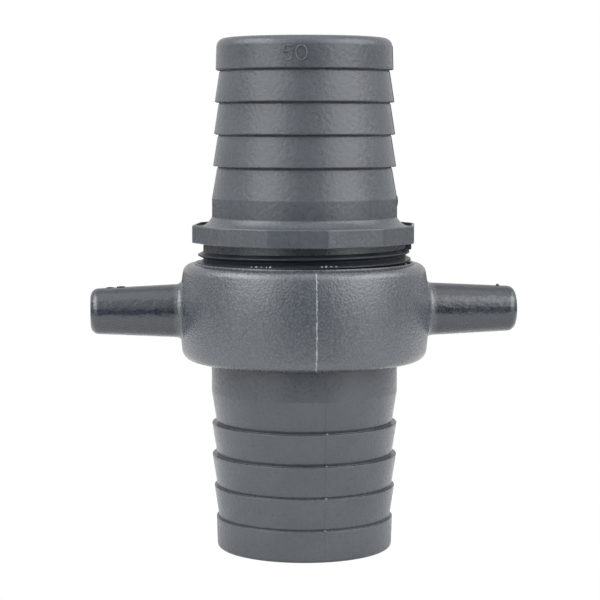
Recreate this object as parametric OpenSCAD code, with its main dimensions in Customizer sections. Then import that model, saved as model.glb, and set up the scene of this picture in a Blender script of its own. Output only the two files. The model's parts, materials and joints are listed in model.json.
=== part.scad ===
// Screwed coupling for 50 mm suction and delivery hose, moulded in black plastic.
// A male hose tail screws into a swivel nut, and the nut draws it down onto a female
// hose tail with a flat seal between them. The coupling stands on the hose end of the
// female tail, with the waterway along +Z and the handles of the nut along X.
// All sizes are in millimetres.

/* [Hose] */
// Bore of the hose that both tails are made for
hose_d = 50; // [44:0.5:56]
// Wall of both tails, from the waterway to the bore of the hose
tail_wall = 3.5; // [2.8:0.1:4.5]
// Chamfer at both hose ends of the waterway
mouth_chamfer = 0.3; // [0.1:0.05:0.4]

/* [Barbs] */
// Plain length from a hose end to its first barb
end_land = 8.7; // [6:0.1:12]
// Distance from one barb to the next
barb_pitch = 8.9; // [6:0.1:12]
// Widening of the plain length towards its barb, on the radius
end_draft = 0.3; // [0:0.05:0.5]
// Rounding in the corner behind each barb
barb_root_r = 0.35; // [0.1:0.05:0.5]

/* [Female tail] */
// How much wider than the bore of the hose each barb is, hose end first
female_barb_over = [-0.2, 0.9, 2, 2.1]; // [-0.4:0.1:3]
// Height of each ledge behind its barb, hose end first
female_ledge = [0.75, 0.85, 1.35, 1.35]; // [0.5:0.05:1.5]
// How much wider than the bore of the hose the land under the hose clamp is
female_land_over = 2.2; // [1.6:0.1:3]
// Length of that land
female_land_len = 8.4; // [4:0.1:20]
// Rounding of the hose end
female_rim_r = 1; // [0.4:0.1:1.6]
// Thickness of the collar that the nut pulls on
collar_t = 4.5; // [3:0.1:8]
// Width of the shoulder that the floor of the nut bears on
collar_shoulder = 1.67; // [1:0.01:3]
// Chamfer on both edges of the collar
collar_chamfer = 0.4; // [0.1:0.05:1]

/* [Male tail] */
// How much wider than the bore of the hose each barb is, hose end first
male_barb_over = [-0.6, 0, 0.5, 1.1]; // [-0.6:0.1:2]
// Height of each ledge behind its barb, hose end first
male_ledge = [1.1, 1.15, 1.15, 1.25]; // [0.5:0.05:1.4]
// How much wider than the bore of the hose the land under the hose clamp is
male_land_over = 1.7; // [1.1:0.1:3]
// Length of that land
male_land_len = 5.3; // [3:0.1:20]
// Rounding of the hose end
male_rim_r = 2.4; // [0.4:0.1:2.4]
// Rounding between the land and the flange
land_foot_r = 2.5; // [0.5:0.1:3]
// Number of flats round the flange
flange_sides = 12; // [8, 10, 12]
// How far the flats stand out past the crests of the thread
flange_over = 0.9; // [0.4:0.1:4]
// Thickness of the flange inside its rim
flange_t = 4.5; // [3:0.1:8]
// Height of the rim round the top of the flange
flange_rim_h = 0.5; // [0.2:0.1:1]
// Width of that rim
flange_rim_w = 0.7; // [0.4:0.1:1.5]
// Turn of the flange's corners round the waterway when the nut is tight
flange_turn = 8; // [0:1:29]
// Chamfer at the foot of the threaded end
spigot_chamfer = 1.2; // [0.5:0.1:1.5]

/* [Thread] */
// Rise of the thread in one turn
thread_pitch = 2.309; // [1.5:0.001:3]
// Length over which the two threads hold each other when tight
thread_grip = 14.7; // [10:0.1:24]
// Length of thread that shows between the nut and the flange when tight
thread_shown = 5.6; // [1:0.1:12]

/* [Nut] */
// Wall between the threaded bore and the outside, where the nut is widest
nut_wall = 5; // [4.6:0.1:8]
// Radius of the bulge of the nut's wall, from its base to its mouth
nut_bulge_r = 64; // [50:1:200]
// Height of the nut's widest place above its base
nut_bulge_h = 13.9; // [12:0.1:16]
// Rounding round the mouth, outside its lip
nut_mouth_r = 3.2; // [1:0.1:3.5]
// Width of the raised lip round the mouth
nut_lip_w = 0.9; // [0.8:0.1:1.5]
// Height of that lip
nut_lip_h = 0.4; // [0.2:0.1:0.8]
// Rounding round the base
nut_base_r = 3.6; // [1:0.1:4.5]
// Thickness of the floor that pulls on the collar
nut_floor_t = 5; // [3:0.1:8]
// Chamfer at both ends of the nut's bore
nut_chamfer = 0.4; // [0.1:0.05:0.6]

/* [Handles] */
// Length of each handle beyond the widest place of the nut
handle_len = 24.8; // [15:0.1:60]
// Diameter of a handle next to the nut
handle_base_d = 14.85; // [10:0.05:16]
// Diameter of a handle at its tip
handle_tip_d = 12.8; // [8:0.05:14]
// Rounding of the tip
handle_tip_r = 2.6; // [0.5:0.1:3.5]
// Height of the handles' axis above the middle of the nut
handle_lift = 0.15; // [0:0.05:1]
// Flared rounding where a handle grows out of the nut
handle_flare_r = 1.3; // [0.5:0.1:2]
// Depth of the boss under the flare, from the widest place of the nut
handle_boss_sink = 0.55; // [0.1:0.05:1]

/* [Seal] */
// Thickness of the rubber washer
seal_t = 3; // [2:0.1:5]
// Bore of the washer beyond the waterway, on the radius
seal_margin = 0.5; // [0.2:0.1:1.5]

/* [Clearances] */
// Play between faces that are drawn together by the thread
face_gap = 0.1; // [0.05:0.01:0.2]
// Play between the thread's crests and the bore of the nut, on the radius
thread_gap = 0.2; // [0.15:0.01:0.3]
// Play of the collar inside the nut's thread, on the radius
collar_gap = 0.3; // [0.2:0.01:0.4]
// Play of the nut's lower hole over the widest barb, on the radius
pass_gap = 0.25; // [0.2:0.01:0.3]
// Play between the swivel neck and the nut's lower hole, on the radius
neck_gap = 0.6; // [0.5:0.01:0.8]
// Distance from the end of the female land to the nut
land_stop = 0.5; // [0.3:0.05:1]

/* [Hidden] */

$fn = 96;
ARC_STEPS = 8;
CORNER_STEPS = 3;
CUT = 1;

// Least flat that is left on a rim between its rounding and its bore
RIM_FLAT = 0.1;

// Depth of a 55 degree pipe thread, for each millimetre of pitch
THREAD_DEPTH = 0.640327;

// Radii of the tails
waterway_r = hose_d / 2 - tail_wall;
female_barb_r = [for (over = female_barb_over) (hose_d + over) / 2];
male_barb_r = [for (over = male_barb_over) (hose_d + over) / 2];
female_land_r = (hose_d + female_land_over) / 2;
male_land_r = (hose_d + male_land_over) / 2;

// The nut's lower hole passes over the barbs, the collar bears on the floor round it,
// and the thread is wide enough to let the collar in: 59.6 mm, a 2 inch pipe thread
nut_hole_r = max(max(female_barb_r), female_land_r) + pass_gap;
neck_r = nut_hole_r - neck_gap;
collar_r = nut_hole_r + collar_shoulder;
seal_bore_r = waterway_r + seal_margin;
thread_root_r = collar_r + collar_gap;
thread_r = thread_root_r + THREAD_DEPTH * thread_pitch;
flange_r = thread_r + flange_over;

// Radii of the nut's bore and outside
nut_bore_r = thread_r + thread_gap;
nut_outer_r = nut_bore_r + nut_wall;
lip_r = nut_bore_r + nut_lip_w;

// Heights, from the hose end of the female tail upwards
female_land_top = end_land + len(female_barb_r) * barb_pitch + female_land_len;
nut_z = female_land_top + land_stop;
seat_z = nut_z + nut_floor_t;
collar_z = seat_z + face_gap;
collar_top = collar_z + collar_t;
seal_top = collar_top + seal_t;
spigot_z = seal_top + face_gap;
nut_top = spigot_z + thread_grip;
lip_foot = nut_top - nut_lip_h;
bulge = [nut_outer_r - nut_bulge_r, nut_z + nut_bulge_h];
flange_z = nut_top + thread_shown;
flange_top = flange_z + flange_t;
handle_z = (nut_z + nut_top) / 2 + handle_lift;

// Lengths of the male tail, from its own hose end
male_land_end = end_land + len(male_barb_r) * barb_pitch + male_land_len;
male_reach = male_land_end + land_foot_r;
male_len = male_reach + flange_top - spigot_z;

// Reach of the handles, from the axis of the waterway
handle_root = nut_bore_r + nut_wall / 2;
flare_start = nut_outer_r - handle_boss_sink;
handle_tip = nut_outer_r + handle_len;

PLASTIC = "#43474b";
NUT_PLASTIC = "#4a4e52";
RUBBER = "#1d1e1f";

// Points along an arc about c, from angle a0 to a1
function arc(c, r, a0, a1, steps = ARC_STEPS) =
    [for (i = [0:steps]) let (a = a0 + (a1 - a0) * i / steps) c + r * [cos(a), sin(a)]];

// One barb: its sharp edge, the ledge behind it and the rounded corner
function barb(edge_r, ledge, z) =
    let (r = min(barb_root_r, ledge / 2))
    concat([[edge_r, z]], arc([edge_r - ledge + r, z + r], r, 270, 180, CORNER_STEPS));

// Outside of a tail, from the rim of its hose end at height 0 to the start of its land
function tail_side(barb_r, ledge, land_r, rim_r) =
    let (end_r = barb_r[0] - end_draft,
         r = min(rim_r, end_r - waterway_r - mouth_chamfer - RIM_FLAT))
    concat(
        arc([end_r - r, r], r, -90, 0),
        [for (i = [0:len(barb_r) - 1])
            each barb(barb_r[i], ledge[i], end_land + i * barb_pitch)],
        [[land_r, end_land + len(barb_r) * barb_pitch]]
    );

// Rim of the bore at a hose end, at height 0
function bore_mouth() =
    [[waterway_r, mouth_chamfer], [waterway_r + mouth_chamfer, 0]];

module female_hose_tail() {
    color(PLASTIC)
    rotate_extrude()
    polygon(concat(
        bore_mouth(),
        tail_side(female_barb_r, female_ledge, female_land_r, female_rim_r),
        [
            [female_land_r, female_land_top],
            [neck_r, female_land_top],
            [neck_r, collar_z],
            [collar_r - collar_chamfer, collar_z],
            [collar_r, collar_z + collar_chamfer],
            [collar_r, collar_top - collar_chamfer],
            [collar_r - collar_chamfer, collar_top],
            [waterway_r, collar_top]
        ]
    ));
}

module sealing_washer() {
    color(RUBBER)
    translate([0, 0, collar_top])
    rotate_extrude()
    translate([seal_bore_r, 0])
    square([collar_r - seal_bore_r, seal_t]);
}

// Barbs, foot and threaded end of the male tail, with its hose end at height 0.
// The threaded end is made to the root of its thread.
module male_core() {
    foot_r = male_land_r + land_foot_r;
    flange_middle = male_reach + flange_t / 2;
    rotate_extrude()
    polygon(concat(
        bore_mouth(),
        tail_side(male_barb_r, male_ledge, male_land_r, male_rim_r),
        arc([foot_r, male_land_end], land_foot_r, 180, 90),
        [
            [foot_r, flange_middle],
            [thread_root_r, flange_middle],
            [thread_root_r, male_len - spigot_chamfer],
            [thread_root_r - spigot_chamfer, male_len],
            [waterway_r, male_len]
        ]
    ));
}

// Flange with flats for the hand or a strap wrench, and a low rim round its top
module flange() {
    corner_r = flange_r / cos(180 / flange_sides);
    rim_r = (flange_r - flange_rim_w) / cos(180 / flange_sides);
    difference() {
        rotate(flange_turn)
        translate([0, 0, flange_z])
        cylinder(h = flange_t + flange_rim_h, r = corner_r, $fn = flange_sides);
        rotate(flange_turn)
        translate([0, 0, flange_top])
        cylinder(h = flange_rim_h + CUT, r = rim_r, $fn = flange_sides);
        translate([0, 0, flange_z - CUT])
        cylinder(h = flange_t + 2 * CUT, r = (waterway_r + male_land_r) / 2);
    }
}

module male_hose_tail() {
    color(PLASTIC)
    union() {
        translate([0, 0, spigot_z + male_len])
        mirror([0, 0, 1])
        male_core();
        flange();
    }
}

// Centre of a rounding of radius r at height z that runs into the bulge of the nut
function side_centre(r, z) =
    [max(lip_r, bulge.x + sqrt(pow(nut_bulge_r - r, 2) - pow(z - bulge.y, 2))), z];

// Ring of the nut: a barrelled outside, a lip, the bore of the thread and the floor
module nut_ring() {
    base_c = side_centre(nut_base_r, nut_z + nut_base_r);
    mouth_c = side_centre(nut_mouth_r, lip_foot - nut_mouth_r);
    base_a = atan2(base_c.y - bulge.y, base_c.x - bulge.x);
    mouth_a = atan2(mouth_c.y - bulge.y, mouth_c.x - bulge.x);
    step = (mouth_a - base_a) / ARC_STEPS;
    rotate_extrude()
    polygon(concat(
        [[nut_hole_r, nut_z + nut_chamfer], [nut_hole_r + nut_chamfer, nut_z]],
        arc(base_c, nut_base_r, -90, base_a),
        arc(bulge, nut_bulge_r, base_a + step, mouth_a - step, ARC_STEPS - 2),
        arc(mouth_c, nut_mouth_r, mouth_a, 90),
        [
            [lip_r, lip_foot],
            [lip_r, nut_top],
            [nut_bore_r + nut_chamfer, nut_top],
            [nut_bore_r, nut_top - nut_chamfer],
            [nut_bore_r, seat_z],
            [nut_hole_r, seat_z]
        ]
    ));
}

// A handle along X: a taper with a rounded tip, flared from a boss on the nut
module handle() {
    base_r = handle_base_d / 2;
    tip_r = handle_tip_d / 2;
    flare_r = base_r + handle_flare_r;
    flare_end = flare_start + handle_flare_r;
    translate([0, 0, handle_z])
    rotate([0, 90, 0])
    rotate_extrude()
    polygon(concat(
        [[0, handle_root], [flare_r, handle_root]],
        arc([flare_r, flare_end], handle_flare_r, 270, 180),
        arc([tip_r - handle_tip_r, handle_tip - handle_tip_r], handle_tip_r, 0, 90),
        [[0, handle_tip]]
    ));
}

module lug_nut() {
    color(NUT_PLASTIC)
    union() {
        nut_ring();
        for (side = [0, 180]) rotate(side) handle();
    }
}

male_hose_tail();
lug_nut();
female_hose_tail();
sealing_washer();
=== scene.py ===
import json
import math
import random

import bmesh
import bpy
from mathutils import Matrix, Vector


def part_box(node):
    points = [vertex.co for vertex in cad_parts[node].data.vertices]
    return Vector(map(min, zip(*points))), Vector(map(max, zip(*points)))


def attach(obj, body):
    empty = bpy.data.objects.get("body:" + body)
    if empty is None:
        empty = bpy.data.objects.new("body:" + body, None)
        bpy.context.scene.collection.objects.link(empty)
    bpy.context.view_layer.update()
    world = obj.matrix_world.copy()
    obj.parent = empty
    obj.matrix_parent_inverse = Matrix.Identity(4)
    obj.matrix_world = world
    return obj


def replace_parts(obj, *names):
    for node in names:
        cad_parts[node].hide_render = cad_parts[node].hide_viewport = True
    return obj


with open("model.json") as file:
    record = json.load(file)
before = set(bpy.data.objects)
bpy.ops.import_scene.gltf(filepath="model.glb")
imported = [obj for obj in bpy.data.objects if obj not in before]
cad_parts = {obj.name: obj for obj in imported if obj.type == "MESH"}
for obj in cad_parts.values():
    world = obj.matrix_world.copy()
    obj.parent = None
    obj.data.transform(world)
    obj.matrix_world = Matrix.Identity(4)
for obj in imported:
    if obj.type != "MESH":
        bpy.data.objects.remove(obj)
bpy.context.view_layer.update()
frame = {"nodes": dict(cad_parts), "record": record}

# The looks of a screwed hose coupling in dark satin plastic. Lengths are in millimetres
# and are turned into metres where a mesh is made. The waterway is the Z axis.
MM = 0.001
scene = bpy.context.scene


def corner_mm(node, which):
    """Lowest (0) or highest (1) corner of a node's box, in millimetres."""
    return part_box(node)[which] / MM


# Places taken from the frame
FEMALE_TOP = corner_mm("female_hose_tail", 1).z
COLLAR_R = corner_mm("female_hose_tail", 1).x
SPIGOT_Z = corner_mm("male_hose_tail", 0).z
MALE_TOP = corner_mm("male_hose_tail", 1).z
NUT_Z = corner_mm("lug_nut", 0).z
NUT_TOP = corner_mm("lug_nut", 1).z
NUT_R = corner_mm("lug_nut", 1).y
HANDLE_TIP = corner_mm("lug_nut", 1).x
mounts = {mount["name"]: mount for mount in frame["record"]["mounts"]}
WATERWAY_R = mounts["male_waterway"]["dims"]["r_mm"]
MALE_LAND_R = mounts["male_hose_land"]["dims"]["r_mm"]
FEMALE_LAND_R = mounts["female_hose_land"]["dims"]["r_mm"]

# Barbs: edge radii and ledge depths from the hose end inwards
END_LAND = 8.7
BARB_PITCH = 8.9
END_DRAFT = 0.3
MALE_BARBS = [(24.7, 1.1), (25.0, 1.15), (25.25, 1.15), (25.55, 1.25)]
FEMALE_BARBS = [(24.9, 0.75), (25.45, 0.85), (26.0, 1.35), (26.05, 1.35)]
LIP_R = 0.18
ROOT_R = 0.1
MOUTH_CHAMFER = 0.3
MOUTH_EDGE_R = 0.15
GROOVE_D = 0.22
GROOVE_H = 0.35
GROOVE_SHARE = 0.4
MALE_RIM_R = 2.4
FEMALE_RIM_R = 1.0
LAND_EDGE_R = 0.8

# Roundings of corners that are hidden or too fine to measure
KEEN_R = 0.02
HAIR_R = 0.1
FINE_R = 0.2
SOFT_R = 0.3

# Female tail beyond its land
FEMALE_LAND_TOP = NUT_Z - 0.5
NECK_R = 25.75
COLLAR_Z = 58.3
COLLAR_EDGE_R = 0.5

# Flange, threaded end and thread of the male tail
FLANGE_Z = 86.2
FLANGE_FLOOR = 90.4
FLANGE_TOP = 91.2
FLANGE_RIM_W = 0.7
FLANGE_R = 30.7
FLANGE_SIDES = 12
FLANGE_TURN = 6.9
FLANGE_EDGE_R = 0.4
FLANGE_FOOT_R = 0.25
FLANGE_BEVEL_DEG = 0.35
LAND_FOOT_R = 5.6
LAND_FOOT_Z = 93.15
LAND_FOOT_SLOPES = (28, 73)
LAND_STEP = 0.1
LAND_STEP_H = 0.05
LAND_STEP_R = 0.03
NECK_FILLET_R = 0.4
SPIGOT_EDGE = 1.2

# Male thread. The camera sees its crest at this height at the neck's left edge, and the
# thread runs on by so many degrees past the right edge.
THREAD_LEFT_Z = 82.67
THREAD_RUN_ON = 12
THREAD_ROOT_R = 28.32
THREAD_CREST_R = 29.8
THREAD_START_GAP = 0.9
PITCH = 2.309
CREST_HALF = 0.19
FLANK = math.tan(math.radians(27.5))
THREAD_SINK = 0.3
ROOT_SKIN = 0.04
NECK_SKIN = 0.02

# Nut
NUT_BULGE_R = 64.0
NUT_BELLY_R = 95.0
NUT_BULGE_Z = NUT_Z + 13.9
NUT_BORE_R = 30.0
NUT_HOLE_R = 26.35
NUT_FLOOR_TOP = 58.2
NUT_BASE_EDGE_R = 3.2
NUT_MOUTH_EDGE_R = 2.7
NUT_LIP_W = 0.75
NUT_LIP_H = 0.4
NUT_GROOVE_W = 0.15
NUT_GROOVE_D = 0.1
NUT_BORE_EDGE = 0.4
NUT_BORE_EDGE_R = 0.05
NUT_THREAD_CREST_R = 28.45
NUT_THREAD_GAPS = (7, 1.2)

# Handles
HANDLE_Z = 67.05
HANDLE_ROOT = 32.5
HANDLE_BASE_R = 7.425
HANDLE_TIP_R = 6.4
HANDLE_TIP_EDGE_R = 2.3
FLARE_R = 1.9
FLARE_START = 34.2
AXIS_R = 0.01

# Lines of the moulds' joints: degrees right of the camera's middle, height, half width and
# how ragged they are
MALE_SEAM = (83, 0.14, 0.16, 0.0)
FEMALE_SEAM = (13, 0.04, 0.2, 0.0)
NUT_SEAM = (5.3, 0.09, 0.27, 0.55)
NUT_STEP = (9, 0.03, 0.25, 0.3)
SEAM_STEP = 0.9
SEAM_SINK = 0.2

# Torn specks on the thread: degrees right of the camera's middle
BURR_ASIDES = (-85, -28.5, -25.6, -22.8, -20, -17.9, 8.9, 11.1, 13.7, 16.4)

# Specks on top of the handles: place along X, half length and half height
HANDLE_SPECKS = [(-54.4, 1.2, 0.15), (-51.3, 1.3, 0.25), (54.9, 0.45, 0.4)]

# Raised size number
MARK_WALL_R = 24.56
MARK_Z = 138.0
MARK_ASIDE = -6.2
MARK_SPACING = 3.6
MARK_H = 3.9
MARK_WIDTHS = (2.6, 2.9)
MARK_HALF_WIDTH = 0.24
MARK_PROUD = 0.28

# Grain of the plastics: size of its blotches along x, y and z, and the noise's own range
CLOUD_MM = (14, 14, 10)
DRAW_LINE_MM = (0.9, 0.9, 25)
WRINKLE_MM = (2.2, 1.3, 1.3)
NOISE_RANGE = (0.3, 0.7)
DRAW_LINE_SHARE = 0.15
GLOSS_SPREAD = 0.12
RELIEF_MM = 0.12

# Past this distance along X the handles are darker, glossier and more wrinkled than the nut
HANDLE_LOOK_X = 36.0
HANDLE_LOOK_FADE = 1.2
HANDLE_DARK = (0.0022, 0.0068, 0.0138)
HANDLE_DARKER = 0.75
HANDLE_GLOSSIER = 0.01
HANDLE_WRINKLES = 0.9
HANDLE_MOTTLE = 0.25

# The camera stands this far round from the front, on the side of the -X handle
VIEW_TURN = 4.5
CAMERA_REACH = 536.2
CAMERA_ASIDE = 1.23
CAMERA_Z = 118.95
CAMERA_TILT = 5.24
FOCAL_PX = 1913.7
FRAME_PX = 600
SENSOR_MM = 36.0

# Room: its light, and the ranges over which it dims toward the camera and the horizon
ROOM_LIGHT = 0.84
GLOOM_FACING = (-0.2, 0.75)
GLOOM_HEIGHT = (0.31, 0.1)

# Floor, in metres and shares of white: its grey falls with distance, and sooner in a sector
# about the direction that lies so many degrees right of the camera. The falling grey is painted shade
# for the light that dims away from the lamps.
FLOOR_HALF = 6.0
FLOOR_DROP = 0.0001
FLOOR_FADE = (0.3, 0.8)
FLOOR_GREYS = (0.72, 0.1)
DIM_ASIDE = 9
DIM_SECTOR = (0.72, 0.97)
DIM_SOONER = (1.0, 2.2)
SHADOW_GREY = 0.16
SHADOW_GLOW = 0.88
SHADOW_FADE = (0.03, 0.1)

# Lamps: name, degrees right of the camera, elevation, distance and size in metres, radiance
LAMP_AIM = (0, 0, 0.07)
LAMPS = [
    ("left_main", -48, 22, 0.9, 0.55, 1.6),
    ("left_wide", -48, 26, 0.95, 1.0, 1.25),
    ("left_high", -67, 47, 0.9, 0.5, 2.25),
    ("left_rear", -88, 42, 0.9, 0.6, 2.55),
    ("right_main", 53, 20, 0.9, 0.55, 1.7),
    ("right_wide", 53, 24, 0.95, 1.0, 1.3),
    ("right_high", 60, 45, 0.9, 0.4, 1.8),
    ("right_upper", 36, 48, 0.9, 0.4, 1.1),
    ("right_rear", 88, 36, 0.9, 0.6, 2.55),
    ("overhead", 0, 80, 0.9, 0.75, 0.9),
]

COLUMNS = 192
SMOOTH_DEG = 40.0


def at(angle, radius, height):
    """Point in metres at an angle in degrees round the waterway."""
    a = math.radians(angle)
    return Vector((radius * math.cos(a), radius * math.sin(a), height)) * MM


def seen_at(aside):
    """Angle round the waterway of what the camera sees so many degrees right of its middle."""
    return -90 - VIEW_TURN + aside


# Meshes


def mesh_object(name, verts, faces):
    mesh = bpy.data.meshes.new(name)
    mesh.from_pydata(verts, [], faces)
    work = bmesh.new()
    work.from_mesh(mesh)
    bmesh.ops.recalc_face_normals(work, faces=work.faces)
    work.to_mesh(mesh)
    work.free()
    mesh.polygons.foreach_set("use_smooth", [True] * len(mesh.polygons))
    mesh.set_sharp_from_angle(angle=math.radians(SMOOTH_DEG))
    piece = bpy.data.objects.new(name, mesh)
    scene.collection.objects.link(piece)
    return piece


def fillet(before, corner, after, radius, steps):
    """Points of the arc that rounds a corner of an outline."""
    here = Vector(corner)
    u, v = Vector(before) - here, Vector(after) - here
    half = u.angle(v) / 2
    most = 0.97
    reach = min(radius / math.tan(half), most * u.length, most * v.length)
    u.normalize()
    v.normalize()
    centre = here + (u + v).normalized() * reach / math.cos(half)
    a, b = here + u * reach - centre, here + v * reach - centre
    turn = a.angle(b)
    return [
        centre + (a * math.sin((1 - s) * turn) + b * math.sin(s * turn)) / math.sin(turn)
        for s in (i / steps for i in range(steps + 1))
    ]


def outline(corners, steps=4, hold=0.12):
    """Closed outline through corners (radius, height, rounding), with points beside each
    rounding that keep the straight stretches flat when they are shaded smooth."""
    count = len(corners)
    rounded = []
    for i, (r, z, rounding) in enumerate(corners):
        if rounding:
            before, after = corners[i - 1][:2], corners[(i + 1) % count][:2]
            rounded.append(fillet(before, (r, z), after, rounding, steps))
        else:
            rounded.append([Vector((r, z))])
    points = []
    for i, arc in enumerate(rounded):
        points += arc
        end, start = arc[-1], rounded[(i + 1) % count][0]
        run = start - end
        if run.length > 4 * hold:
            step = run.normalized() * hold
            points += [end + step, start - step]
    return points


def revolve(name, points, angles=None, stretch=None, turn=None):
    """Closed ring swept by an outline of (radius, height) points about the waterway."""
    angles = angles or [360 * i / COLUMNS for i in range(COLUMNS)]
    verts = []
    for angle in angles:
        for r, z in points:
            reach = r * stretch(angle, r, z) if stretch else r
            verts.append(at(angle, reach, z))
    if turn:
        verts = [turn @ v for v in verts]
    n, m = len(points), len(angles)
    faces = [
        (i * n + j, (i + 1) % m * n + j, (i + 1) % m * n + (j + 1) % n, i * n + (j + 1) % n)
        for i in range(m)
        for j in range(n)
    ]
    return mesh_object(name, verts, faces)


def sweep(name, sections):
    """Closed tube through sections of equally many points."""
    n = len(sections[0])
    verts = [p for section in sections for p in section]
    faces = [
        (i * n + j, (i + 1) * n + j, (i + 1) * n + (j + 1) % n, i * n + (j + 1) % n)
        for i in range(len(sections) - 1)
        for j in range(n)
    ]
    last = (len(sections) - 1) * n
    faces += [tuple(range(n)), tuple(last + j for j in range(n))]
    return mesh_object(name, verts, faces)


def join(name, pieces):
    """One object made of several."""
    work = bmesh.new()
    for piece in pieces:
        work.from_mesh(piece.data)
        bpy.data.objects.remove(piece)
    mesh = bpy.data.meshes.new(name)
    work.to_mesh(mesh)
    work.free()
    joined = bpy.data.objects.new(name, mesh)
    scene.collection.objects.link(joined)
    return joined


def bead(name, path, half_width, proud, sides=8):
    """Round bead along a path of points that lie on a surface, half sunk in it."""
    sections = []
    for i, p in enumerate(path):
        along = (path[min(i + 1, len(path) - 1)] - path[max(i - 1, 0)]).normalized()
        out = Vector((p.x, p.y, 0)).normalized()
        side = along.cross(out).normalized()
        out = side.cross(along)
        sections.append([
            p + (side * math.cos(math.tau * k / sides) * half_width
                 + out * math.sin(math.tau * k / sides) * proud) * MM
            for k in range(sides)
        ])
    return sweep(name, sections)


# Outlines


def tail_corners(barbs, land_r, rim_r):
    """Outside of a tail from its hose end, at height 0, to the start of its land."""
    corners = [
        (WATERWAY_R + MOUTH_CHAMFER, 0, MOUTH_EDGE_R),
        (barbs[0][0] - END_DRAFT, 0, rim_r),
    ]
    ends = [edge_r for edge_r, _ in barbs[1:]] + [land_r]
    for i, ((edge_r, ledge), end_r) in enumerate(zip(barbs, ends)):
        z = END_LAND + i * BARB_PITCH
        root_r = edge_r - ledge
        groove_h = GROOVE_H + GROOVE_SHARE * ledge
        groove_r = root_r + (end_r - root_r) * groove_h / BARB_PITCH
        corners += [
            (edge_r, z, LIP_R),
            (root_r - GROOVE_D, z, ROOT_R),
            (groove_r, z + groove_h, ROOT_R),
        ]
    return corners + [(land_r, END_LAND + len(barbs) * BARB_PITCH, LAND_EDGE_R)]


def female_outline():
    return outline(
        tail_corners(FEMALE_BARBS, FEMALE_LAND_R, FEMALE_RIM_R)
        + [
            (FEMALE_LAND_R, FEMALE_LAND_TOP, SOFT_R),
            (NECK_R, FEMALE_LAND_TOP, HAIR_R),
            (NECK_R, COLLAR_Z, SOFT_R),
            (COLLAR_R, COLLAR_Z, COLLAR_EDGE_R),
            (COLLAR_R, FEMALE_TOP, COLLAR_EDGE_R),
            (WATERWAY_R, FEMALE_TOP, FINE_R),
            (WATERWAY_R, MOUTH_CHAMFER, HAIR_R),
        ]
    )


def land_foot():
    """Hollow that leaves the land at a slope and runs out on the flange's floor."""
    first, last = (math.radians(a) for a in LAND_FOOT_SLOPES)
    steps = 10
    start = Vector((MALE_LAND_R + LAND_STEP, LAND_FOOT_Z))
    middle = start + Vector((math.cos(first), math.sin(first))) * LAND_FOOT_R
    angles = (first + (last - first) * i / steps for i in range(steps + 1))
    points = [middle - Vector((math.cos(a), math.sin(a))) * LAND_FOOT_R for a in angles]
    return [(p.x, p.y, 0) for p in points]


def male_outline():
    side = tail_corners(MALE_BARBS, MALE_LAND_R, MALE_RIM_R)
    return outline(
        [(r, MALE_TOP - z, rounding) for r, z, rounding in side]
        + [
            (MALE_LAND_R, LAND_FOOT_Z + 2 * LAND_STEP_H, LAND_STEP_R),
            (MALE_LAND_R + LAND_STEP, LAND_FOOT_Z + LAND_STEP_H, KEEN_R),
        ]
        + land_foot()
        + [
            (FLANGE_R - FLANGE_RIM_W, FLANGE_FLOOR, HAIR_R),
            (FLANGE_R - FLANGE_RIM_W, FLANGE_TOP, HAIR_R),
            (FLANGE_R, FLANGE_TOP, FLANGE_EDGE_R),
            (FLANGE_R, FLANGE_Z, FLANGE_FOOT_R),
            (THREAD_ROOT_R, FLANGE_Z, NECK_FILLET_R),
            (THREAD_ROOT_R, SPIGOT_Z + SPIGOT_EDGE, HAIR_R),
            (THREAD_ROOT_R - SPIGOT_EDGE, SPIGOT_Z, HAIR_R),
            (WATERWAY_R, SPIGOT_Z, FINE_R),
            (WATERWAY_R, MALE_TOP - MOUTH_CHAMFER, HAIR_R),
        ]
    )


def flange_angles():
    """Columns that put a narrow bevel on each corner of the flange and keep its flats flat."""
    sector = 360 / FLANGE_SIDES
    edge, held = FLANGE_BEVEL_DEG, 3 * FLANGE_BEVEL_DEG
    steps = 11
    flat = [held + (sector - 2 * held) * i / steps for i in range(steps + 1)]
    within = [edge] + flat + [sector - edge]
    return [FLANGE_TURN + sector * side + a for side in range(FLANGE_SIDES) for a in within]


def flange_stretch(angle, radius, height):
    """Widening that turns the round flange into one with flats."""
    slack = 0.01
    if not FLANGE_Z - slack <= height <= FLANGE_TOP + slack:
        return 1
    sector = 360 / FLANGE_SIDES
    from_flat = math.radians((angle - FLANGE_TURN) % sector - sector / 2)
    inner = THREAD_ROOT_R + NECK_FILLET_R
    share = min(max((radius - inner) / (FLANGE_R - FLANGE_RIM_W - inner), 0), 1)
    return 1 + share * (1 / math.cos(from_flat) - 1)


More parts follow.
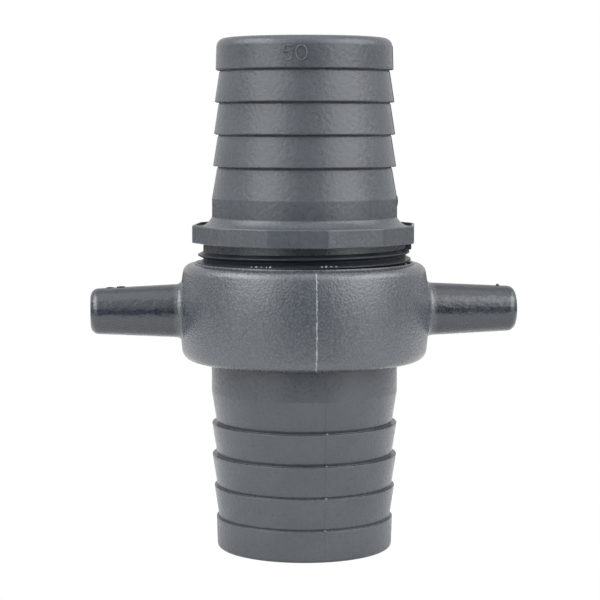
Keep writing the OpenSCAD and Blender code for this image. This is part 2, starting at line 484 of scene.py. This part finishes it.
def nut_side():
    """Rounded base, bulging wall and rounded mouth of the nut, from its base upwards."""
    lip_foot = NUT_TOP - NUT_LIP_H
    upper = Vector((NUT_R - NUT_BULGE_R, NUT_BULGE_Z))
    lower = Vector((NUT_R - NUT_BELLY_R, NUT_BULGE_Z))
    edge_steps, bow_steps = 12, 24

    def edge(middle, bulge_r, radius, height):
        """Centre of a rounding that runs into the bulge, and the angle at which it does."""
        rise = height - middle.y
        run = math.sqrt((bulge_r - radius) ** 2 - rise ** 2)
        return middle + Vector((run, rise)), math.atan2(rise, run)

    def bow(centre, radius, start, end, steps):
        turns = (start + (end - start) * i / steps for i in range(steps + 1))
        return [centre + Vector((math.cos(a), math.sin(a))) * radius for a in turns]

    base, base_end = edge(lower, NUT_BELLY_R, NUT_BASE_EDGE_R, NUT_Z + NUT_BASE_EDGE_R)
    mouth, mouth_start = edge(upper, NUT_BULGE_R, NUT_MOUTH_EDGE_R, lip_foot - NUT_MOUTH_EDGE_R)
    return (
        bow(base, NUT_BASE_EDGE_R, -math.pi / 2, base_end, edge_steps)
        + bow(lower, NUT_BELLY_R, base_end, 0, bow_steps)[1:]
        + bow(upper, NUT_BULGE_R, 0, mouth_start, bow_steps)[1:-1]
        + bow(mouth, NUT_MOUTH_EDGE_R, mouth_start, math.pi / 2, edge_steps)
    )


def nut_outline():
    side = [(p.x, p.y, 0) for p in nut_side()]
    lip_r, lip_foot = NUT_BORE_R + NUT_LIP_W, NUT_TOP - NUT_LIP_H
    return outline(
        [(NUT_HOLE_R + NUT_BORE_EDGE, NUT_Z, HAIR_R)]
        + side
        + [
            (lip_r + NUT_GROOVE_W, lip_foot, KEEN_R),
            (lip_r, lip_foot - NUT_GROOVE_D, KEEN_R),
            (lip_r, NUT_TOP, FINE_R),
            (NUT_BORE_R + NUT_BORE_EDGE, NUT_TOP, NUT_BORE_EDGE_R),
            (NUT_BORE_R, NUT_TOP - NUT_BORE_EDGE, NUT_BORE_EDGE_R),
            (NUT_BORE_R, NUT_FLOOR_TOP, SOFT_R),
            (NUT_HOLE_R, NUT_FLOOR_TOP, FINE_R),
            (NUT_HOLE_R, NUT_Z + NUT_BORE_EDGE, HAIR_R),
        ]
    )


def handle_outline():
    """Half section of a handle: its radius and its distance from the waterway."""
    flare_top = HANDLE_BASE_R + FLARE_R
    flare_end = FLARE_START + FLARE_R
    flare_steps, tip_steps, hold = 10, 8, 0.15
    flare = [
        (flare_top - FLARE_R * math.sin(s), flare_end - FLARE_R * math.cos(s))
        for s in (math.pi / 2 * i / flare_steps for i in range(flare_steps + 1))
    ]
    before, corner, after = (HANDLE_TIP_R, flare_end), (HANDLE_TIP_R, HANDLE_TIP), (0, HANDLE_TIP)
    tip = fillet(before, corner, after, HANDLE_TIP_EDGE_R, tip_steps)
    wall = Vector((HANDLE_TIP_R - HANDLE_BASE_R, HANDLE_TIP - flare_end))
    wall_step = wall.normalized() * hold
    held = [Vector(flare[-1]) + wall_step, tip[0] - wall_step]
    root = [(AXIS_R, HANDLE_ROOT), (flare_top, HANDLE_ROOT)]
    return root + flare + held + tip + [(AXIS_R, HANDLE_TIP)]


# Pieces


def male_tail_body():
    return revolve("male_tail_body", male_outline(), flange_angles(), flange_stretch)


def female_tail_body():
    return revolve("female_tail_body", female_outline())


def nut_body():
    pieces = [revolve("nut_ring", nut_outline())]
    for side in (0, 180):
        turn = (
            Matrix.Translation((0, 0, HANDLE_Z * MM))
            @ Matrix.Rotation(math.radians(side), 4, "Z")
            @ Matrix.Rotation(math.radians(90), 4, "Y")
        )
        pieces.append(revolve(f"handle_{side}", handle_outline(), turn=turn))
    return join("nut_body", pieces)


def thread_ridge(name, low_deg, high_deg, height_at, root_r, crest_r):
    """Helical ridge from root_r to crest_r that grows out of the wall at both ends."""
    step_deg, fade_deg, least = 3, 25, 0.02
    steps = int((high_deg - low_deg) / step_deg)
    outward = 1 if crest_r > root_r else -1
    sections = []
    for i in range(steps + 1):
        angle = low_deg + (high_deg - low_deg) * i / steps
        grown = min(1, (angle - low_deg) / fade_deg, (high_deg - angle) / fade_deg)
        grown = least + (1 - least) * grown
        crest = root_r + (crest_r - root_r) * grown
        sunk = root_r - outward * THREAD_SINK
        root_half = CREST_HALF + abs(crest_r - sunk) * FLANK
        top_half = CREST_HALF + abs(crest_r - crest) * FLANK
        z = height_at(angle)
        sections.append([
            at(angle, sunk, z - root_half),
            at(angle, crest, z - top_half),
            at(angle, crest, z + top_half),
            at(angle, sunk, z + root_half),
        ])
    return sweep(name, sections)


def male_thread_height(angle):
    return THREAD_LEFT_Z + PITCH * (angle - seen_at(-90)) / 360


def male_thread_end():
    return seen_at(90) + THREAD_RUN_ON


def male_thread():
    end = male_thread_end()
    rise = male_thread_height(end) - SPIGOT_Z - SPIGOT_EDGE - THREAD_START_GAP
    start = end - 360 * rise / PITCH
    return thread_ridge("male_thread", start, end, male_thread_height, THREAD_ROOT_R, THREAD_CREST_R)


def thread_root():
    """Skin over the root of the male thread, between one turn of the ridge and the next, that carries
    the root's painted shade.
    """
    turns, steps, clear = 2, 300, 0.1
    low, high = seen_at(-90) - 360 * turns, male_thread_end()
    inner, outer = THREAD_ROOT_R - THREAD_SINK, THREAD_ROOT_R + ROOT_SKIN
    sections = []
    for i in range(steps + 1):
        angle = low + (high - low) * i / steps
        foot = max(male_thread_height(angle) - PITCH, SPIGOT_Z + SPIGOT_EDGE + clear)
        sections.append([
            at(angle, inner, foot),
            at(angle, outer, foot),
            at(angle, outer, foot + PITCH),
            at(angle, inner, foot + PITCH),
        ])
    return sweep("thread_root", sections)


def thread_neck():
    """Skin over the plain neck between the male thread and the flange, that carries the flange's
    painted shadow.
    """
    into_flange = 0.1
    inner, outer = THREAD_ROOT_R - THREAD_SINK, THREAD_ROOT_R + NECK_SKIN
    low, high = THREAD_LEFT_Z - PITCH, FLANGE_Z + into_flange
    return revolve("thread_neck", [(inner, low), (outer, low), (outer, high), (inner, high)])


def nut_thread():
    def height_at(angle):
        return male_thread_height(angle) - PITCH / 2

    below, above = NUT_THREAD_GAPS
    end = seen_at(0)
    end += 360 * (NUT_TOP - above - height_at(end)) / PITCH
    start = end - 360 * (NUT_TOP - NUT_FLOOR_TOP - below) / PITCH
    return thread_ridge("nut_thread", start, end, height_at, NUT_BORE_R, NUT_THREAD_CREST_R)


def thread_stop():
    """Block at the end of the thread, under the flange."""
    past_edge, width = 2, 11
    first = seen_at(90) + past_edge
    drop, slope, proud, into_flange = 0.3, 0.5, 0.3, 0.2
    inner, outer = THREAD_ROOT_R - THREAD_SINK, THREAD_CREST_R + proud
    low, high = male_thread_height(first) - drop, FLANGE_Z + into_flange
    steps = 4
    sections = []
    for i in range(steps + 1):
        angle = first + width * i / steps
        sections.append([
            at(angle, inner, low),
            at(angle, outer, low + slope),
            at(angle, outer, high),
            at(angle, inner, high),
        ])
    return sweep("thread_stop", sections)


def resampled(points, step):
    """The same run of points with none further apart than a step."""
    out = [points[0]]
    for start, end in zip(points, points[1:]):
        count = max(1, round(math.dist(start, end) / step))
        for i in range(1, count + 1):
            out.append(tuple(a + (b - a) * i / count for a, b in zip(start, end)))
    return out


def seam(name, points, middle, height, half_width, ragged):
    """Thin raised line that a mould's joint leaves along the outside of an outline."""
    rng = random.Random(round(middle))
    drift = 0.8
    points = resampled(points, SEAM_STEP)
    base_deg = math.degrees(half_width / points[0][0])
    sections = []
    for i, (r, z) in enumerate(points):
        half_deg = base_deg * (1 + ragged * rng.uniform(-1, 1))
        crest_deg = half_deg / 3
        angle = middle + base_deg * ragged * rng.uniform(-drift, drift)
        proud = height * (1 + ragged * rng.uniform(-1, 1))
        before, after = points[max(i - 1, 0)], points[min(i + 1, len(points) - 1)]
        along = Vector((after[0] - before[0], after[1] - before[1])).normalized()
        out_r, out_z = abs(along.y), -along.x * (1 if along.y >= 0 else -1)
        crest_r, crest_z = r + proud * out_r, z + proud * out_z
        sunk_r, sunk_z = r - SEAM_SINK * out_r, z - SEAM_SINK * out_z
        sections.append([
            at(angle - half_deg, sunk_r, sunk_z),
            at(angle - crest_deg, crest_r, crest_z),
            at(angle + crest_deg, crest_r, crest_z),
            at(angle + half_deg, sunk_r, sunk_z),
        ])
    return sweep(name, sections)


def outer_run(points, low, high):
    """Stretch of an outline's outer side between two heights."""
    thinnest = 1.5
    return [(r, z) for r, z in points if low <= z <= high and r > WATERWAY_R + thinnest]


def digit_five(width, height):
    """Path of a 5 about its own middle, from the tip of its flag."""
    w, h = width / 2, height / 2
    bowl_r, widening, shift = 0.31 * height, 1.05, 0.12 * w
    first_deg, swept_deg, steps = 125, 275, 16
    flag_and_stem = [(w, h), (0, h), (-0.72 * w, h), (-0.8 * w, 0.35 * h), (-0.86 * w, 0.02 * h)]
    bowl = [
        (bowl_r * math.cos(a) * widening - shift, bowl_r * math.sin(a) - h + bowl_r)
        for a in (math.radians(first_deg - swept_deg * i / steps) for i in range(steps + 1))
    ]
    return flag_and_stem + bowl


def digit_nought(width, height):
    w, h, steps = width / 2, height / 2, 28
    turns = (math.tau * i / steps for i in range(steps + 1))
    return [(w * math.cos(a), h * math.sin(a)) for a in turns]


def size_mark():
    """The plain number 50, raised on the male tail's end land."""
    pieces = []
    for k, (digit, width) in enumerate(zip((digit_five, digit_nought), MARK_WIDTHS)):
        shift = (k - 0.5) * MARK_SPACING
        points = []
        for x, z in digit(width, MARK_H):
            angle = seen_at(MARK_ASIDE) + math.degrees((x + shift) / MARK_WALL_R)
            points.append(at(angle, MARK_WALL_R, MARK_Z + z))
        pieces.append(bead(f"digit_{k}", points, MARK_HALF_WIDTH, MARK_PROUD))
    return join("size_mark", pieces)


def small_lump(name, place, size, seed):
    """Irregular speck of plastic."""
    least, most = 0.8, 1.15
    rng = random.Random(seed)
    work = bmesh.new()
    bmesh.ops.create_icosphere(work, subdivisions=2, radius=1)
    for vert in work.verts:
        vert.co *= rng.uniform(least, most)
        vert.co = Vector((vert.co.x * size[0], vert.co.y * size[1], vert.co.z * size[2])) * MM + place
    mesh = bpy.data.meshes.new(name)
    work.to_mesh(mesh)
    work.free()
    mesh.polygons.foreach_set("use_smooth", [True] * len(mesh.polygons))
    piece = bpy.data.objects.new(name, mesh)
    scene.collection.objects.link(piece)
    return piece


def female_nibs():
    """Specks where the mould's joint crosses the root of each barb."""
    drift, inward, above, size = 0.3, 0.55, 0.15, (0.4, 0.4, 0.3)
    pieces = []
    for i, (edge_r, ledge) in enumerate(FEMALE_BARBS):
        angle = seen_at(FEMALE_SEAM[0] + drift * i)
        place = at(angle, edge_r - inward * ledge, END_LAND + i * BARB_PITCH + above)
        pieces.append(small_lump(f"nib_{i}", place, size, i))
    return join("female_nibs", pieces)


def handle_nibs():
    """Remains of the mould's joint on top of the handles."""
    half_width, first_seed = 0.5, 10
    slope = (HANDLE_BASE_R - HANDLE_TIP_R) / (HANDLE_TIP - FLARE_START - FLARE_R)
    pieces = []
    for i, (x, half_length, proud) in enumerate(HANDLE_SPECKS):
        top = HANDLE_Z + HANDLE_TIP_R + slope * (HANDLE_TIP - abs(x))
        place = Vector((x, 0, top)) * MM
        size = (half_length, half_width, proud)
        pieces.append(small_lump(f"handle_nib_{i}", place, size, first_seed + i))
    return join("handle_nibs", pieces)


def male_nib():
    """Flash at the mould's joint where the last barb meets the land."""
    aside, height, size, seed = 88, 97.6, (0.4, 0.35, 1.7), 9
    return small_lump("male_nib", at(seen_at(aside), MALE_LAND_R, height), size, seed)


def thread_burrs():
    """Torn specks on the crest of the male thread, just above the nut's mouth."""
    rng = random.Random(4)
    inward, above, first_seed = 0.1, 0.2, 20
    pieces = []
    for i, aside in enumerate(BURR_ASIDES):
        angle = seen_at(aside)
        place = at(angle, THREAD_CREST_R - inward, male_thread_height(angle) - PITCH + above)
        size = (rng.uniform(0.2, 0.4), rng.uniform(0.15, 0.25), rng.uniform(0.15, 0.35))
        pieces.append(small_lump(f"burr_{i}", place, size, first_seed + i))
    return join("thread_burrs", pieces)


def base_tick():
    """Small upright mark near the female tail's hose end."""
    aside, wall_r, half_width, proud = -25, 24.72, 0.2, 0.15
    path = [at(seen_at(aside), wall_r, z) for z in (4.2, 4.8, 5.4, 6.0)]
    return bead("base_tick", path, half_width, proud)


# Nodes of materials

# Sockets of the mix node for each kind: first, second and result
MIX_SOCKETS = {"FLOAT": (2, 3, 0), "RGBA": (6, 7, 2)}


def add(tree, kind, **settings):
    node = tree.nodes.new(kind)
    for key, value in settings.items():
        setattr(node, key, value)
    return node


def feed(tree, socket, value):
    """Set a socket to a plain value, or link another node's socket to it."""
    if isinstance(value, bpy.types.NodeSocket):
        tree.links.new(value, socket)
    else:
        socket.default_value = value


def calc(tree, operation, a, b):
    """Math node on two values, each a socket or a number."""
    node = add(tree, "ShaderNodeMath", operation=operation)
    feed(tree, node.inputs[0], a)
    feed(tree, node.inputs[1], b)
    return node.outputs[0]


def mixed(tree, kind, share, a, b):
    """Value or colour that goes from a to b with a share between 0 and 1."""
    first, second, result = MIX_SOCKETS[kind]
    node = add(tree, "ShaderNodeMix", data_type=kind)
    feed(tree, node.inputs[0], share)
    feed(tree, node.inputs[first], a)
    feed(tree, node.inputs[second], b)
    return node.outputs[result]


def ramp(tree, value, start, end, low=0.0, high=1.0):
    """Smooth change from low, where a value is at its start, to high at its end."""
    node = add(tree, "ShaderNodeMapRange", interpolation_type="SMOOTHSTEP")
    tree.links.new(value, node.inputs["Value"])
    for key, number in zip(("From Min", "From Max", "To Min", "To Max"), (start, end, low, high)):
        node.inputs[key].default_value = number
    return node.outputs["Result"]


def part_along(tree, vector, direction):
    """How far a vector goes along a direction."""
    node = add(tree, "ShaderNodeVectorMath", operation="DOT_PRODUCT")
    tree.links.new(vector, node.inputs[0])
    node.inputs[1].default_value = direction
    return node.outputs["Value"]


def place_of(tree, kind="Object"):
    return add(tree, "ShaderNodeTexCoord").outputs[kind]


def part_of(tree, vector, axis):
    """One of a vector's x, y and z."""
    node = add(tree, "ShaderNodeSeparateXYZ")
    tree.links.new(vector, node.inputs[0])
    return node.outputs[axis]


def grain(tree, size, detail=3.0):
    """Noise of about 0 to 1 whose blotches measure size, in millimetres along x, y and z."""
    mapping = add(tree, "ShaderNodeMapping")
    mapping.inputs["Scale"].default_value = [1 / (s * MM) for s in size]
    noise = add(tree, "ShaderNodeTexNoise")
    noise.inputs["Scale"].default_value = 1.0
    noise.inputs["Detail"].default_value = detail
    spread = add(tree, "ShaderNodeMapRange", clamp=False)
    spread.inputs["From Min"].default_value, spread.inputs["From Max"].default_value = NOISE_RANGE
    tree.links.new(place_of(tree), mapping.inputs["Vector"])
    tree.links.new(mapping.outputs["Vector"], noise.inputs["Vector"])
    tree.links.new(noise.outputs["Fac"], spread.inputs["Value"])
    return spread.outputs["Result"]


# Materials


def on_handles(tree):
    """0 near the waterway and 1 on the handles."""
    reach = calc(tree, "ABSOLUTE", part_of(tree, place_of(tree), "X"), 0)
    return ramp(tree, reach, HANDLE_LOOK_X * MM, (HANDLE_LOOK_X + HANDLE_LOOK_FADE) * MM)


def cloudy_colour(tree, dark, light, skin, mottle):
    """Colour between dark and light by wide clouds, the skin's mottle and draw lines."""
    cloud = grain(tree, CLOUD_MM)
    lines = grain(tree, DRAW_LINE_MM, detail=1)
    tint = calc(tree, "MULTIPLY", cloud, 1 - mottle - DRAW_LINE_SHARE)
    tint = calc(tree, "ADD", tint, calc(tree, "MULTIPLY", skin, mottle))
    tint = calc(tree, "ADD", tint, calc(tree, "MULTIPLY", lines, DRAW_LINE_SHARE))
    return mixed(tree, "RGBA", tint, (*dark, 1), (*light, 1))


def handle_finish(tree, colour, gloss, skin):
    """The same colour and roughness, but darker and glossier on the handles, with a height
    for the relief that is wrinkled there."""
    beyond = on_handles(tree)
    share = calc(tree, "MULTIPLY", beyond, HANDLE_DARKER)
    colour = mixed(tree, "RGBA", share, colour, (*HANDLE_DARK, 1))
    gloss = calc(tree, "SUBTRACT", gloss, calc(tree, "MULTIPLY", beyond, HANDLE_GLOSSIER))
    wrinkles = calc(tree, "MULTIPLY", grain(tree, WRINKLE_MM, detail=1), HANDLE_WRINKLES)
    wrinkled = calc(tree, "ADD", wrinkles, calc(tree, "MULTIPLY", skin, HANDLE_MOTTLE))
    return colour, gloss, mixed(tree, "FLOAT", beyond, skin, wrinkled)


def plastic(name, dark, light, roughness, mottle_mm, mottle, relief, ior=1.49, handles=False):
    """Moulded plastic: cloudy colour, a mottled skin, draw lines and fine relief. With
    handles set, it takes their look where they are."""
    material = bpy.data.materials.new(name)
    material.use_nodes = True
    tree = material.node_tree
    shader = tree.nodes["Principled BSDF"]
    skin = grain(tree, (mottle_mm,) * 3, detail=2.5)
    colour = cloudy_colour(tree, dark, light, skin, mottle)
    shine = calc(tree, "MULTIPLY", skin, GLOSS_SPREAD)
    gloss = calc(tree, "ADD", shine, roughness - GLOSS_SPREAD / 2)
    height = skin
    if handles:
        colour, gloss, height = handle_finish(tree, colour, gloss, skin)
    bump = add(tree, "ShaderNodeBump")
    bump.inputs["Strength"].default_value = relief
    bump.inputs["Distance"].default_value = RELIEF_MM * MM
    tree.links.new(height, bump.inputs["Height"])
    tree.links.new(colour, shader.inputs["Base Color"])
    tree.links.new(gloss, shader.inputs["Roughness"])
    tree.links.new(bump.outputs["Normal"], shader.inputs["Normal"])
    shader.inputs["IOR"].default_value = ior
    return material


def tail_plastic():
    dark, light = (0.041, 0.0465, 0.054), (0.058, 0.066, 0.077)
    return plastic("tail_plastic", dark, light, roughness=0.31, mottle_mm=1.1, mottle=0.3, relief=0.4)


def nut_plastic():
    """Coarser and shinier than the tails, with the handles' own look at their places."""
    return plastic(
        "nut_plastic",
        dark=(0.031, 0.036, 0.043),
        light=(0.061, 0.071, 0.084),
        roughness=0.26,
        mottle_mm=0.62,
        mottle=0.75,
        relief=0.5,
        ior=1.7,
        handles=True,
    )


def gap_shade_plastic(name, dark, light, roughness, relief, ior=1.49):
    """Nearly black plastic for the gap between flange and nut: painted shade where flange and nut
    keep the light out, not the plastic's own colour.
    """
    return plastic(name, dark, light, roughness, mottle_mm=0.9, mottle=0.3, relief=relief, ior=ior)


# The male thread, the thread stop and the nut's thread are painted nearly black: painted shade of the
# gap under the flange and inside the nut.
def shaded_thread_plastic():
    dark, light = (0.009, 0.0125, 0.017), (0.017, 0.0215, 0.028)
    return gap_shade_plastic("shaded_thread_plastic", dark, light, roughness=0.35, relief=0.2)


# Painted shadow: the neck under the flange is coloured nearly black in place of the flange's shadow.
def shaded_neck_plastic():
    dark, light = (0.008, 0.0125, 0.018), (0.017, 0.0225, 0.029)
    return gap_shade_plastic("shaded_neck_plastic", dark, light, roughness=0.3, relief=0.2, ior=1.6)


# Painted shade: the thread's root is coloured black in place of its deep shadow.
def shaded_root_plastic():
    dark, light = (0.001, 0.003, 0.006), (0.003, 0.0055, 0.009)
    return gap_shade_plastic("shaded_root_plastic", dark, light, roughness=0.5, relief=0.1, ior=1.3)


# Lighter plastic of the specks on the female barbs.
def pale_nib_plastic():
    dark, light = (0.08, 0.085, 0.09), (0.15, 0.155, 0.165)
    return plastic("pale_nib_plastic", dark, light, roughness=0.4, mottle_mm=0.5, mottle=0.5, relief=0.3)


def torn_plastic():
    """Pale plastic of torn specks and of the nut's joint line."""
    dark, light = (0.16, 0.17, 0.18), (0.34, 0.35, 0.37)
    return plastic("torn_plastic", dark, light, roughness=0.45, mottle_mm=0.5, mottle=0.6, relief=0.5)


def rubber():
    dark, light = (0.02, 0.02, 0.021), (0.04, 0.04, 0.042)
    return plastic("seal_rubber", dark, light, roughness=0.7, mottle_mm=0.6, mottle=0.4, relief=0.3)


# Studio


def toward_camera():
    a = math.radians(VIEW_TURN)
    return Vector((-math.sin(a), -math.cos(a), 0))


def studio_camera():
    data = bpy.data.cameras.new("camera")
    data.sensor_width = SENSOR_MM
    data.lens = FOCAL_PX * SENSOR_MM / FRAME_PX
    data.clip_start = 0.01
    camera = bpy.data.objects.new("camera", data)
    front = toward_camera()
    left = Vector((front.y, -front.x, 0))
    camera.location = (front * CAMERA_REACH + left * CAMERA_ASIDE + Vector((0, 0, CAMERA_Z))) * MM
    camera.rotation_euler = (math.radians(90 - CAMERA_TILT), 0, -math.radians(VIEW_TURN))
    scene.collection.objects.link(camera)
    scene.camera = camera


def softbox(name, aside, elevation, distance, size, radiance):
    """Square lamp seen from the object, aside degrees right of the camera."""
    data = bpy.data.lights.new(name, "AREA")
    data.shape = "SQUARE"
    data.size = size
    data.energy = radiance * math.pi * size * size
    lamp = bpy.data.objects.new(name, data)
    a = math.radians(seen_at(aside))
    e = math.radians(elevation)
    ray = Vector((math.cos(a) * math.cos(e), math.sin(a) * math.cos(e), math.sin(e)))
    lamp.location = Vector(LAMP_AIM) + ray * distance
    lamp.rotation_euler = ray.to_track_quat("Z", "Y").to_euler()
    lamp.visible_camera = False
    scene.collection.objects.link(lamp)


def studio_world():
    """White to the camera. To the object it is dimmer about the horizon on the camera's side."""
    world = bpy.data.worlds.new("studio")
    world.use_nodes = True
    scene.world = world
    tree = world.node_tree
    background = tree.nodes["Background"]
    place = place_of(tree, "Generated")
    facing = ramp(tree, part_along(tree, place, toward_camera()), *GLOOM_FACING)
    level = ramp(tree, part_of(tree, place, "Z"), *GLOOM_HEIGHT)
    gloom = calc(tree, "MULTIPLY", facing, level)
    light = calc(tree, "SUBTRACT", ROOM_LIGHT, calc(tree, "MULTIPLY", gloom, ROOM_LIGHT))
    path = add(tree, "ShaderNodeLightPath")
    shown = calc(tree, "MAXIMUM", path.outputs["Is Camera Ray"], path.outputs["Is Transmission Ray"])
    strength = calc(tree, "MAXIMUM", light, shown)
    background.inputs["Color"].default_value = (1, 1, 1, 1)
    tree.links.new(strength, background.inputs["Strength"])


def mixed_shader(tree, share, a, b):
    node = add(tree, "ShaderNodeMixShader")
    for socket, value in zip(node.inputs, (share, a, b)):
        tree.links.new(value, socket)
    return node.outputs[0]


def floor_lit(tree, place, reach):
    """What the object sees of the floor: a grey that falls off with distance, painted shade for the
    lamps' light dimming far off.
    """
    heading = add(tree, "ShaderNodeVectorMath", operation="NORMALIZE")
    tree.links.new(place, heading.inputs[0])
    turn = math.radians(seen_at(DIM_ASIDE))
    ahead = part_along(tree, heading.outputs[0], (math.cos(turn), math.sin(turn), 0))
    sooner = ramp(tree, ahead, *DIM_SECTOR, *DIM_SOONER)
    grey = ramp(tree, calc(tree, "MULTIPLY", reach, sooner), *FLOOR_FADE, *FLOOR_GREYS)
    lit = add(tree, "ShaderNodeBsdfDiffuse")
    tree.links.new(grey, lit.inputs["Color"])
    return lit.outputs[0]


def floor_shown(tree, reach):
    """What the camera sees of the floor: white, with a faint shadow close to the object."""
    near = add(tree, "ShaderNodeBsdfDiffuse")
    near.inputs["Color"].default_value = (SHADOW_GREY, SHADOW_GREY, SHADOW_GREY, 1)
    glow = add(tree, "ShaderNodeEmission")
    glow.inputs["Strength"].default_value = SHADOW_GLOW
    soft = add(tree, "ShaderNodeAddShader")
    tree.links.new(near.outputs[0], soft.inputs[0])
    tree.links.new(glow.outputs[0], soft.inputs[1])
    white = add(tree, "ShaderNodeEmission")
    return mixed_shader(tree, ramp(tree, reach, *SHADOW_FADE), soft.outputs[0], white.outputs[0])


def pale_floor():
    material = bpy.data.materials.new("pale_floor")
    material.use_nodes = True
    tree = material.node_tree
    tree.nodes.remove(tree.nodes["Principled BSDF"])
    place = place_of(tree)
    length = add(tree, "ShaderNodeVectorMath", operation="LENGTH")
    tree.links.new(place, length.inputs[0])
    reach = length.outputs["Value"]
    path = add(tree, "ShaderNodeLightPath")
    lit, shown = floor_lit(tree, place, reach), floor_shown(tree, reach)
    surface = mixed_shader(tree, path.outputs["Is Camera Ray"], lit, shown)
    tree.links.new(surface, tree.nodes["Material Output"].inputs["Surface"])
    return material


def studio_floor():
    half = FLOOR_HALF
    corners = [(-half, -half, 0), (half, -half, 0), (half, half, 0), (-half, half, 0)]
    floor = mesh_object("floor", corners, [(0, 1, 2, 3)])
    floor.location.z = -FLOOR_DROP
    floor.data.materials.append(pale_floor())


# Assembly


def place_piece(piece, material, body, slot):
    piece.data.materials.clear()
    piece.data.materials.append(material)
    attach(piece, body)
    return piece


def mould_lines():
    """Name, run and measures of each kind of joint line: two on the tails, two on the nut."""
    clear, female_start, step_top = 2, 1, 8
    past_base, past_mouth = 4, -5
    male_side = outer_run(male_outline(), FLANGE_TOP + clear, MALE_TOP - clear)
    female_side = outer_run(female_outline(), female_start, FEMALE_LAND_TOP)
    wall = [tuple(p) for p in nut_side()[past_base:past_mouth]]
    wall_foot = [(r, z) for r, z in wall if NUT_Z + clear < z < NUT_Z + step_top]
    return (
        ("male_seam", male_side, MALE_SEAM),
        ("female_seam", female_side, FEMALE_SEAM),
        ("nut_seam", wall, NUT_SEAM),
        ("nut_step", wall_foot, NUT_STEP),
    )


def build():
    tail, nut = tail_plastic(), nut_plastic()
    # dark is painted shade: the threads and the thread stop are coloured nearly black in place of the
    # gap's shadow.
    dark, pale = shaded_thread_plastic(), torn_plastic()
    male = ("male_tail", "male_tail_plastic")
    female = ("female_tail", "female_tail_plastic")
    swivel = ("nut", "nut_plastic")

    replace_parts(place_piece(male_tail_body(), tail, *male), "male_hose_tail")
    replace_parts(place_piece(female_tail_body(), tail, *female), "female_hose_tail")
    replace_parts(place_piece(nut_body(), nut, *swivel), "lug_nut")
    place_piece(male_thread(), dark, *male)
    place_piece(thread_root(), shaded_root_plastic(), *male)
    place_piece(thread_neck(), shaded_neck_plastic(), *male)
    place_piece(thread_stop(), dark, *male)
    place_piece(male_nib(), tail, *male)
    place_piece(size_mark(), tail, *male)
    place_piece(nut_thread(), dark, *swivel)
    place_piece(handle_nibs(), nut, *swivel)
    place_piece(thread_burrs(), pale, *male)
    place_piece(female_nibs(), pale_nib_plastic(), *female)
    place_piece(base_tick(), tail, *female)

    owners = ((tail, male), (tail, female), (pale, swivel), (nut, swivel))
    for turn in (0, 180):
        for (name, run, line), (material, owner) in zip(mould_lines(), owners):
            aside, *measures = line
            piece = seam(f"{name}_{turn}", run, seen_at(aside + turn), *measures)
            place_piece(piece, material, *owner)

    washer = frame["nodes"]["sealing_washer"]
    washer.data.materials.clear()
    washer.data.materials.append(rubber())


scene.view_settings.view_transform = "Standard"
build()
studio_camera()
studio_world()
studio_floor()
for lamp in LAMPS:
    softbox(*lamp)
